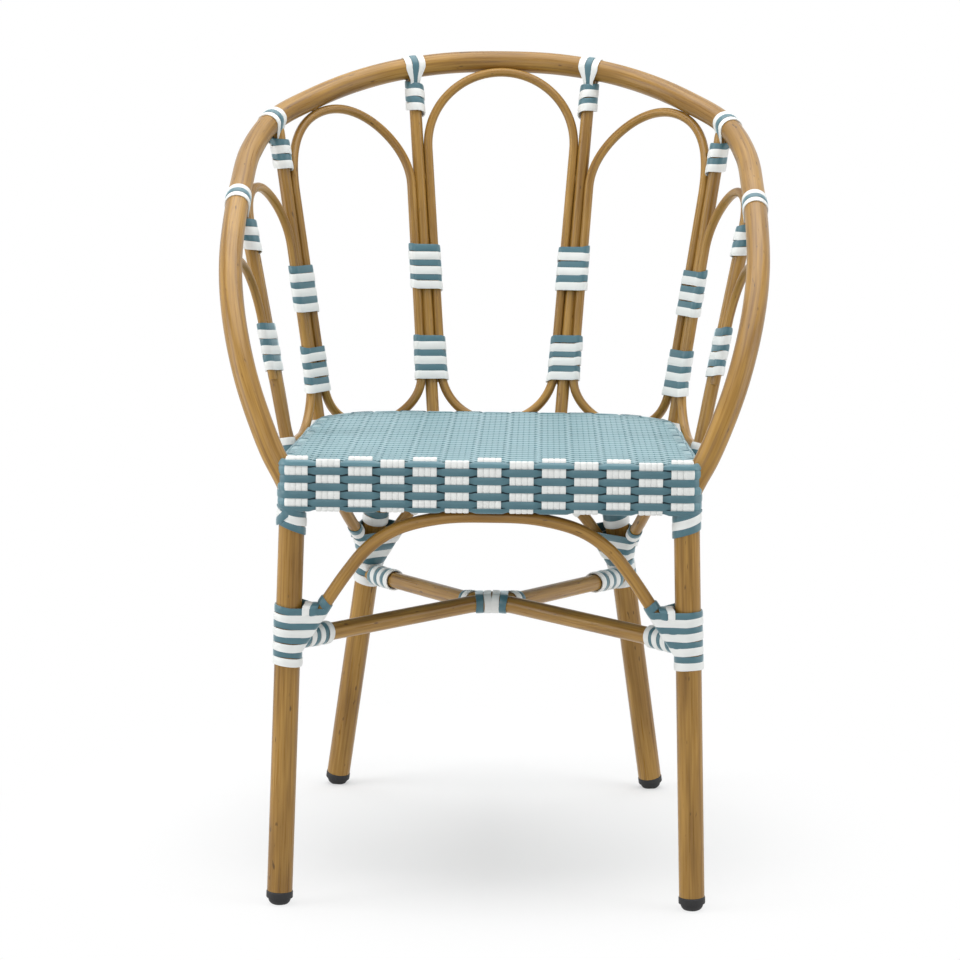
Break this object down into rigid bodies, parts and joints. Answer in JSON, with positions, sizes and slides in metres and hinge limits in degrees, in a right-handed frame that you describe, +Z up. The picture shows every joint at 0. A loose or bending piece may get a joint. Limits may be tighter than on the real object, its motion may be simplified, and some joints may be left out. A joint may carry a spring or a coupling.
{
  "type": "bistro armchair",
  "caption": "Stackless bistro armchair of bent cane-finished tube: hooped back with thin loops, woven strap seat, strap bindings, splayed legs with arches and crossed stretchers.",
  "frame": {"origin": "on the floor, under the middle of the chair's bounding box", "axes": "+Z is up; +X is to the right as seen from the front; -Y is the front, where the sitter faces; +Y is the back"},
  "size_m": [0.569, 0.598, 0.8324],
  "materials": {
    "cane_tube": "satin lacquer with a cane-like grain",
    "seat_frame": "satin",
    "strap_blue": "satin extruded strap",
    "strap_white": "satin extruded strap",
    "foot_black": "matt moulded"
  },
  "bodies": {
    "root": {"front_leg_right": "cane_tube", "front_leg_left": "cane_tube", "rear_leg_right": "cane_tube", "rear_leg_left": "cane_tube", "front_foot_cap_right": "foot_black", "front_foot_cap_left": "foot_black", "rear_foot_cap_right": "foot_black", "rear_foot_cap_left": "foot_black", "back_hoop": "cane_tube", "centre_back_loop": "cane_tube", "side_back_loop_right": "cane_tube", "side_back_loop_left": "cane_tube", "outer_back_loop_right": "cane_tube", "outer_back_loop_left": "cane_tube", "front_half_arch_right": "cane_tube", "front_half_arch_left": "cane_tube", "centre_post_right": "cane_tube", "centre_post_left": "cane_tube", "side_post_right": "cane_tube", "side_post_left": "cane_tube", "outer_post_right": "cane_tube", "outer_post_left": "cane_tube", "front_stretcher": "cane_tube", "rear_stretcher": "cane_tube", "front_arch": "cane_tube", "rear_arch": "cane_tube", "side_arch_right": "cane_tube", "side_arch_left": "cane_tube", "centre_upper_binding_right": "strap_blue", "centre_upper_binding_left": "strap_blue", "centre_lower_binding_right": "strap_blue", "centre_lower_binding_left": "strap_blue", "side_upper_binding_right": "strap_blue", "side_upper_binding_left": "strap_blue", "side_lower_binding_right": "strap_blue", "side_lower_binding_left": "strap_blue", "outer_binding_right": "strap_blue", "outer_binding_left": "strap_blue", "centre_hoop_binding_right": "strap_white", "centre_hoop_binding_left": "strap_white", "side_hoop_binding_right": "strap_white", "side_hoop_binding_left": "strap_white", "outer_hoop_binding_right": "strap_white", "outer_hoop_binding_left": "strap_white", "front_leg_binding_right": "strap_blue", "front_leg_binding_left": "strap_blue", "rear_leg_binding_right": "strap_blue", "rear_leg_binding_left": "strap_blue", "front_leg_top_binding_right": "strap_blue", "front_leg_top_binding_left": "strap_blue", "centre_binding": "strap_blue", "seat_upper_rim": "seat_frame", "seat_lower_rim": "seat_frame", "seat_upper_front_rail": "seat_frame", "seat_lower_front_rail": "seat_frame", "seat_front_cross_bar": "seat_frame", "seat_rear_cross_bar": "seat_frame", "woven_seat": "strap_blue"}
  },
  "joints": []
}
